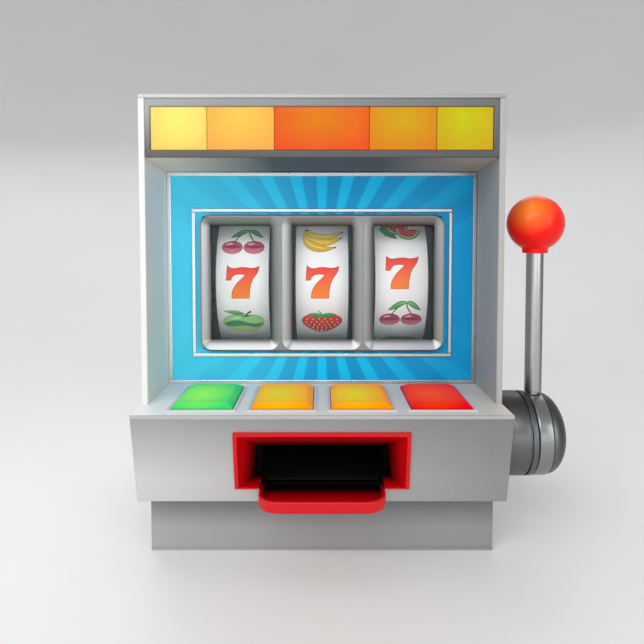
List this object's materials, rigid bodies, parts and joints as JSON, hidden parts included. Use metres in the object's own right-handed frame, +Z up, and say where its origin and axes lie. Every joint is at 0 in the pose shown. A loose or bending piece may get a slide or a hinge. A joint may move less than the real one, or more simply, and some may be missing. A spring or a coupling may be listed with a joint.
{
  "type": "slot machine",
  "caption": "Countertop slot machine with three reels behind a window frame, a lit header, push buttons, a coin tray and a side lever.",
  "frame": {"origin": "centre of the underside of the cabinet's plinth, on the surface it stands on", "axes": "+Z up, -Y is the front with the display and buttons, +X towards the lever"},
  "size_m": [0.4235, 0.351, 0.45],
  "materials": {
    "silver_paint": "satin silver-grey paint",
    "dark_paint": "satin dark grey paint",
    "chrome_trim": "polished",
    "satin_steel": "satin",
    "zinc_steel": "bright zinc",
    "yellow_lens": "translucent, lit from behind",
    "amber_lens": "translucent, lit from behind",
    "orange_lens": "translucent, lit from behind",
    "white_plastic": "moulded",
    "blue_panel": "printed sky-blue rays under gloss",
    "clear_glass": "clear",
    "reel_paper": "printed strip",
    "black_plastic": "moulded",
    "grey_plastic": "moulded",
    "green_button": "translucent",
    "yellow_button": "translucent",
    "red_button": "translucent",
    "red_plastic": "moulded",
    "red_ball": "polished",
    "gunmetal": "gloss gunmetal",
    "bronze": "sintered bronze",
    "circuit_board": "green solder mask"
  },
  "bodies": {
    "cabinet": {"side_panel_left": "silver_paint", "side_panel_right": "silver_paint", "top_panel": "silver_paint", "bottom_plate": "dark_paint", "plinth_boards": "silver_paint", "belly_panel": "silver_paint", "deck_plate": "silver_paint", "rear_frame": "silver_paint", "header_frame": "dark_paint", "header_lens_yellow": "yellow_lens", "header_lens_amber": "amber_lens", "header_lens_orange": "orange_lens", "header_reflector": "white_plastic", "header_led_strip": "white_plastic", "header_soffit": "dark_paint", "display_panel": "blue_panel", "display_trim": "chrome_trim", "reel_surround_trim": "chrome_trim", "reel_frame": "chrome_trim", "reel_glass": "clear_glass", "reel_shelf": "dark_paint", "reel_brackets": "dark_paint", "drive_motors": "black_plastic", "button_housings": "white_plastic", "button_springs": "satin_steel", "microswitches": "black_plastic", "tray_surround": "red_plastic", "coin_tray": "red_plastic", "payout_chute": "black_plastic", "coin_hopper": "grey_plastic", "control_board": "circuit_board", "power_supply": "satin_steel", "power_inlet": "black_plastic", "lever_boss": "gunmetal", "lever_bushing": "bronze", "lever_spring": "satin_steel", "door_hinge_pins": "satin_steel", "cabinet_screws": "zinc_steel"},
    "reel_1": {"reel_drum_1": "white_plastic", "reel_strip_1": "reel_paper", "reel_shaft_1": "satin_steel"},
    "reel_2": {"reel_drum_2": "white_plastic", "reel_strip_2": "reel_paper", "reel_shaft_2": "satin_steel"},
    "reel_3": {"reel_drum_3": "white_plastic", "reel_strip_3": "reel_paper", "reel_shaft_3": "satin_steel"},
    "green_button": {"button_green": "green_button"},
    "yellow_button_left": {"button_yellow_left": "yellow_button"},
    "yellow_button_right": {"button_yellow_right": "yellow_button"},
    "red_button": {"button_red": "red_button"},
    "lever": {"lever_disc": "chrome_trim", "lever_cap": "gunmetal", "lever_rod": "chrome_trim", "lever_knob": "red_ball", "lever_shaft": "satin_steel", "lever_crank": "satin_steel"},
    "coin_disc": {"hopper_disc": "bronze"},
    "service_door": {"rear_door": "silver_paint"},
    "lock": {"door_lock": "chrome_trim"}
  },
  "joints": [
    {"name": "reel_spin_1", "type": "hinge", "parent": "cabinet", "child": "reel_1", "pos_m": [-0.0894, 0.031, 0.2635], "axis": [1, 0, 0], "continuous": true},
    {"name": "reel_spin_2", "type": "hinge", "parent": "cabinet", "child": "reel_2", "pos_m": [0, 0.031, 0.2635], "axis": [1, 0, 0], "continuous": true},
    {"name": "reel_spin_3", "type": "hinge", "parent": "cabinet", "child": "reel_3", "pos_m": [0.0894, 0.031, 0.2635], "axis": [1, 0, 0], "continuous": true},
    {"name": "green_button_press", "type": "slide", "parent": "cabinet", "child": "green_button", "axis": [0, 0, -1], "range_m": [0, 0.004], "stiffness_N_per_m": 300, "springref_m": -0.004, "deforming": ["button_springs"]},
    {"name": "yellow_button_left_press", "type": "slide", "parent": "cabinet", "child": "yellow_button_left", "axis": [0, 0, -1], "range_m": [0, 0.004], "stiffness_N_per_m": 300, "springref_m": -0.004, "deforming": ["button_springs"]},
    {"name": "yellow_button_right_press", "type": "slide", "parent": "cabinet", "child": "yellow_button_right", "axis": [0, 0, -1], "range_m": [0, 0.004], "stiffness_N_per_m": 300, "springref_m": -0.004, "deforming": ["button_springs"]},
    {"name": "red_button_press", "type": "slide", "parent": "cabinet", "child": "red_button", "axis": [0, 0, -1], "range_m": [0, 0.004], "stiffness_N_per_m": 300, "springref_m": -0.004, "deforming": ["button_springs"]},
    {"name": "lever_pull", "type": "hinge", "parent": "cabinet", "child": "lever", "pos_m": [0.219, -0.111, 0.111], "axis": [1, 0, 0], "range_deg": [0, 65], "stiffness_Nm_per_rad": 1.5, "springref_deg": -17.19, "deforming": ["lever_spring"]},
    {"name": "coin_disc_spin", "type": "hinge", "parent": "cabinet", "child": "coin_disc", "pos_m": [0, 0.032, 0.082], "axis": [0, 0, 1], "continuous": true},
    {"name": "service_door_swing", "type": "hinge", "parent": "cabinet", "child": "service_door", "pos_m": [-0.143, 0.147, 0.255], "axis": [0, 0, 1], "range_deg": [0, 110]},
    {"name": "lock_turn", "type": "hinge", "parent": "service_door", "child": "lock", "pos_m": [0.125, 0.147, 0.255], "axis": [0, -1, 0], "range_deg": [0, 90]}
  ]
}
